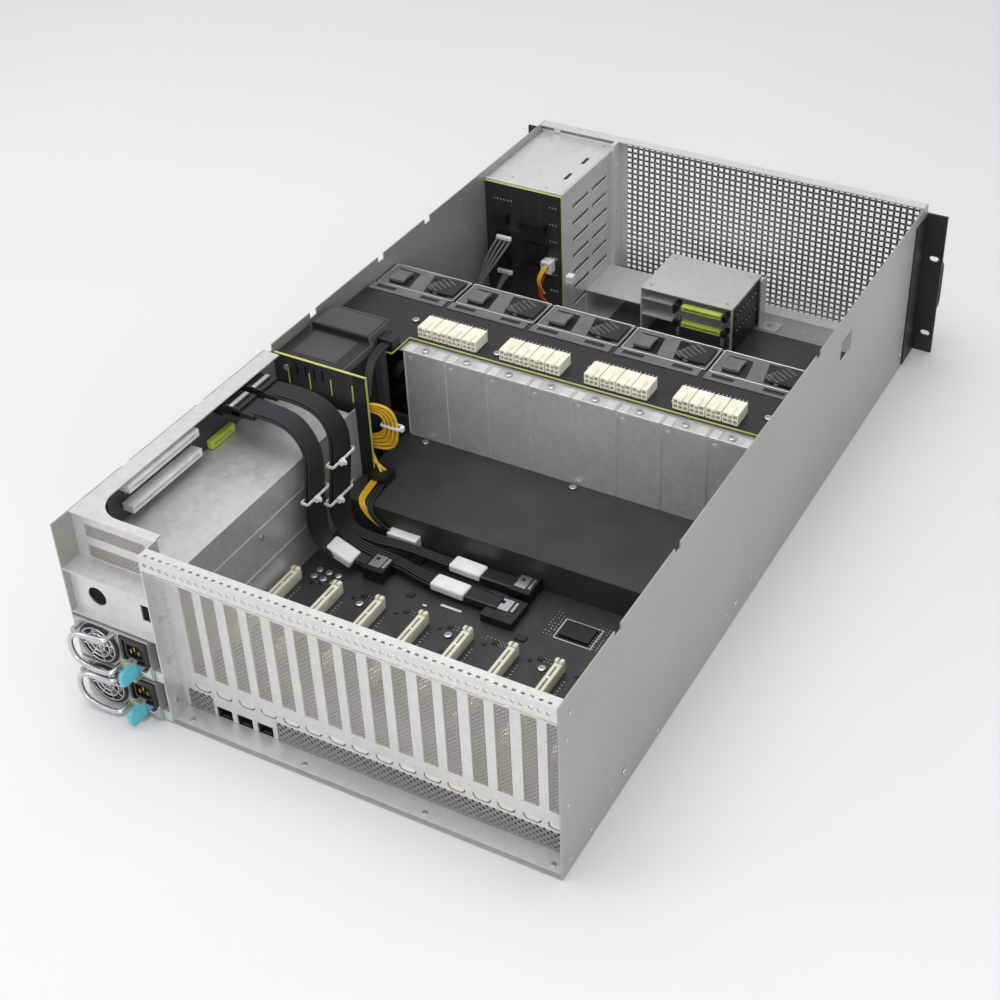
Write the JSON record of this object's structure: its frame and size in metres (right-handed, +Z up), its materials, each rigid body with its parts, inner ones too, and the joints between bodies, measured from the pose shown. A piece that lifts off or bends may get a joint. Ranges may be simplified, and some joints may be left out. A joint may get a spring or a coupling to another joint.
{
  "type": "4u gpu server",
  "caption": "Rack server case with its lid off: card slots over a slot board, fans, power supplies, a drive cage and a perforated front.",
  "frame": {"origin": "centre of the underside of the case, midway between the side walls and between the ears' front faces and the case's rear edge", "axes": "+Z up, +Y to the rear with the card slots and power supplies, +X towards the power supply side"},
  "size_m": [0.4826, 0.8555, 0.1745],
  "materials": {
    "case_steel": "satin",
    "panel_steel": "satin",
    "cover_nickel": "satin",
    "ear_black": "satin",
    "dark_cover": "matte",
    "board_dark": "matte",
    "connector_cream": "satin",
    "connector_black": "satin",
    "heatsink": "satin",
    "supply_case": "satin",
    "tab_cyan": "gloss",
    "fan_black": "satin",
    "carrier_metal": "satin",
    "cable_black": "woven",
    "cable_yellow": "satin",
    "standoff_brass": "satin",
    "button_grey": "gloss"
  },
  "bodies": {
    "case": {"chassis_tray": "case_steel", "rack_ears": "ear_black", "front_frame": "panel_steel", "front_grille": "panel_steel", "rear_slot_panel": "panel_steel", "slot_covers": "cover_nickel", "slot_retention_bar": "panel_steel", "rear_top_plate": "panel_steel", "psu_cage": "case_steel", "rear_left_panels": "panel_steel", "psu_backplane": "board_dark", "power_duct_cover": "dark_cover", "power_board": "board_dark", "power_connectors": "connector_cream", "gpu_blank_plates": "panel_steel", "deck_cover": "dark_cover", "gpu_board": "board_dark", "card_slots": "connector_cream", "riser_board": "board_dark", "main_board": "board_dark", "processor_heatsinks": "heatsink", "fan_cage": "case_steel", "drive_cage": "case_steel", "drive_backplane": "board_dark", "front_module": "panel_steel", "board_plugs": "connector_black", "ribbon_cable_front": "cable_black", "ribbon_cable_rear": "cable_black", "power_leads": "cable_yellow", "board_standoffs": "standoff_brass"},
    "fan_module_1": {"fan_module_1": "fan_black"},
    "fan_rotor_1a": {"fan_rotor_1a": "fan_black"},
    "fan_rotor_1b": {"fan_rotor_1b": "fan_black"},
    "fan_module_2": {"fan_module_2": "fan_black"},
    "fan_rotor_2a": {"fan_rotor_2a": "fan_black"},
    "fan_rotor_2b": {"fan_rotor_2b": "fan_black"},
    "fan_module_3": {"fan_module_3": "fan_black"},
    "fan_rotor_3a": {"fan_rotor_3a": "fan_black"},
    "fan_rotor_3b": {"fan_rotor_3b": "fan_black"},
    "fan_module_4": {"fan_module_4": "fan_black"},
    "fan_rotor_4a": {"fan_rotor_4a": "fan_black"},
    "fan_rotor_4b": {"fan_rotor_4b": "fan_black"},
    "fan_module_5": {"fan_module_5": "fan_black"},
    "fan_rotor_5a": {"fan_rotor_5a": "fan_black"},
    "fan_rotor_5b": {"fan_rotor_5b": "fan_black"},
    "psu_lower": {"psu_lower": "supply_case"},
    "psu_tab_lower": {"psu_tab_lower": "tab_cyan"},
    "psu_rotor_lower": {"psu_rotor_lower": "fan_black"},
    "psu_upper": {"psu_upper": "supply_case"},
    "psu_tab_upper": {"psu_tab_upper": "tab_cyan"},
    "psu_rotor_upper": {"psu_rotor_upper": "fan_black"},
    "drive_carrier_1": {"drive_carrier_1": "carrier_metal"},
    "drive_carrier_2": {"drive_carrier_2": "carrier_metal"},
    "drive_carrier_3": {"drive_carrier_3": "carrier_metal"},
    "drive_carrier_4": {"drive_carrier_4": "carrier_metal"},
    "drive_carrier_5": {"drive_carrier_5": "carrier_metal"},
    "drive_carrier_6": {"drive_carrier_6": "carrier_metal"},
    "drive_carrier_7": {"drive_carrier_7": "carrier_metal"},
    "drive_carrier_8": {"drive_carrier_8": "carrier_metal"},
    "power_button": {"power_button": "button_grey"}
  },
  "joints": [
    {"name": "fan_module_1_lift", "type": "slide", "parent": "case", "child": "fan_module_1", "axis": [0, 0, 1], "range_m": [0, 0.155]},
    {"name": "fan_rotor_1a_spin", "type": "hinge", "parent": "fan_module_1", "child": "fan_rotor_1a", "pos_m": [-0.1744, -0.069, 0.0395], "axis": [0, 1, 0], "continuous": true},
    {"name": "fan_rotor_1b_spin", "type": "hinge", "parent": "fan_module_1", "child": "fan_rotor_1b", "pos_m": [-0.1744, -0.069, 0.1145], "axis": [0, 1, 0], "continuous": true},
    {"name": "fan_module_2_lift", "type": "slide", "parent": "case", "child": "fan_module_2", "axis": [0, 0, 1], "range_m": [0, 0.155]},
    {"name": "fan_rotor_2a_spin", "type": "hinge", "parent": "fan_module_2", "child": "fan_rotor_2a", "pos_m": [-0.0872, -0.069, 0.0395], "axis": [0, 1, 0], "continuous": true},
    {"name": "fan_rotor_2b_spin", "type": "hinge", "parent": "fan_module_2", "child": "fan_rotor_2b", "pos_m": [-0.0872, -0.069, 0.1145], "axis": [0, 1, 0], "continuous": true},
    {"name": "fan_module_3_lift", "type": "slide", "parent": "case", "child": "fan_module_3", "axis": [0, 0, 1], "range_m": [0, 0.155]},
    {"name": "fan_rotor_3a_spin", "type": "hinge", "parent": "fan_module_3", "child": "fan_rotor_3a", "pos_m": [0, -0.069, 0.0395], "axis": [0, 1, 0], "continuous": true},
    {"name": "fan_rotor_3b_spin", "type": "hinge", "parent": "fan_module_3", "child": "fan_rotor_3b", "pos_m": [0, -0.069, 0.1145], "axis": [0, 1, 0], "continuous": true},
    {"name": "fan_module_4_lift", "type": "slide", "parent": "case", "child": "fan_module_4", "axis": [0, 0, 1], "range_m": [0, 0.155]},
    {"name": "fan_rotor_4a_spin", "type": "hinge", "parent": "fan_module_4", "child": "fan_rotor_4a", "pos_m": [0.0872, -0.069, 0.0395], "axis": [0, 1, 0], "continuous": true},
    {"name": "fan_rotor_4b_spin", "type": "hinge", "parent": "fan_module_4", "child": "fan_rotor_4b", "pos_m": [0.0872, -0.069, 0.1145], "axis": [0, 1, 0], "continuous": true},
    {"name": "fan_module_5_lift", "type": "slide", "parent": "case", "child": "fan_module_5", "axis": [0, 0, 1], "range_m": [0, 0.155]},
    {"name": "fan_rotor_5a_spin", "type": "hinge", "parent": "fan_module_5", "child": "fan_rotor_5a", "pos_m": [0.1744, -0.069, 0.0395], "axis": [0, 1, 0], "continuous": true},
    {"name": "fan_rotor_5b_spin", "type": "hinge", "parent": "fan_module_5", "child": "fan_rotor_5b", "pos_m": [0.1744, -0.069, 0.1145], "axis": [0, 1, 0], "continuous": true},
    {"name": "psu_lower_slide", "type": "slide", "parent": "case", "child": "psu_lower", "axis": [0, 1, 0], "range_m": [0, 0.28]},
    {"name": "psu_tab_lower_press", "type": "hinge", "parent": "psu_lower", "child": "psu_tab_lower", "pos_m": [0.1595, 0.4056, 0.01], "axis": [0, 0, 1], "range_deg": [-10, 0], "stiffness_Nm_per_rad": 0.05},
    {"name": "psu_rotor_lower_spin", "type": "hinge", "parent": "psu_lower", "child": "psu_rotor_lower", "pos_m": [0.194, 0.389, 0.0215], "axis": [0, 1, 0], "continuous": true},
    {"name": "psu_upper_slide", "type": "slide", "parent": "case", "child": "psu_upper", "axis": [0, 1, 0], "range_m": [0, 0.28]},
    {"name": "psu_tab_upper_press", "type": "hinge", "parent": "psu_upper", "child": "psu_tab_upper", "pos_m": [0.1595, 0.4056, 0.053], "axis": [0, 0, 1], "range_deg": [-10, 0], "stiffness_Nm_per_rad": 0.05},
    {"name": "psu_rotor_upper_spin", "type": "hinge", "parent": "psu_upper", "child": "psu_rotor_upper", "pos_m": [0.194, 0.389, 0.0645], "axis": [0, 1, 0], "continuous": true},
    {"name": "drive_carrier_1_slide", "type": "slide", "parent": "case", "child": "drive_carrier_1", "axis": [0, -1, 0], "range_m": [0, 0.12]},
    {"name": "drive_carrier_2_slide", "type": "slide", "parent": "case", "child": "drive_carrier_2", "axis": [0, -1, 0], "range_m": [0, 0.12]},
    {"name": "drive_carrier_3_slide", "type": "slide", "parent": "case", "child": "drive_carrier_3", "axis": [0, -1, 0], "range_m": [0, 0.12]},
    {"name": "drive_carrier_4_slide", "type": "slide", "parent": "case", "child": "drive_carrier_4", "axis": [0, -1, 0], "range_m": [0, 0.12]},
    {"name": "drive_carrier_5_slide", "type": "slide", "parent": "case", "child": "drive_carrier_5", "axis": [0, -1, 0], "range_m": [0, 0.12]},
    {"name": "drive_carrier_6_slide", "type": "slide", "parent": "case", "child": "drive_carrier_6", "axis": [0, -1, 0], "range_m": [0, 0.12]},
    {"name": "drive_carrier_7_slide", "type": "slide", "parent": "case", "child": "drive_carrier_7", "axis": [0, -1, 0], "range_m": [0, 0.12]},
    {"name": "drive_carrier_8_slide", "type": "slide", "parent": "case", "child": "drive_carrier_8", "axis": [0, -1, 0], "range_m": [0, 0.12]},
    {"name": "power_button_press", "type": "slide", "parent": "case", "child": "power_button", "axis": [0, 1, 0], "range_m": [0, 0.0015], "stiffness_N_per_m": 300}
  ]
}
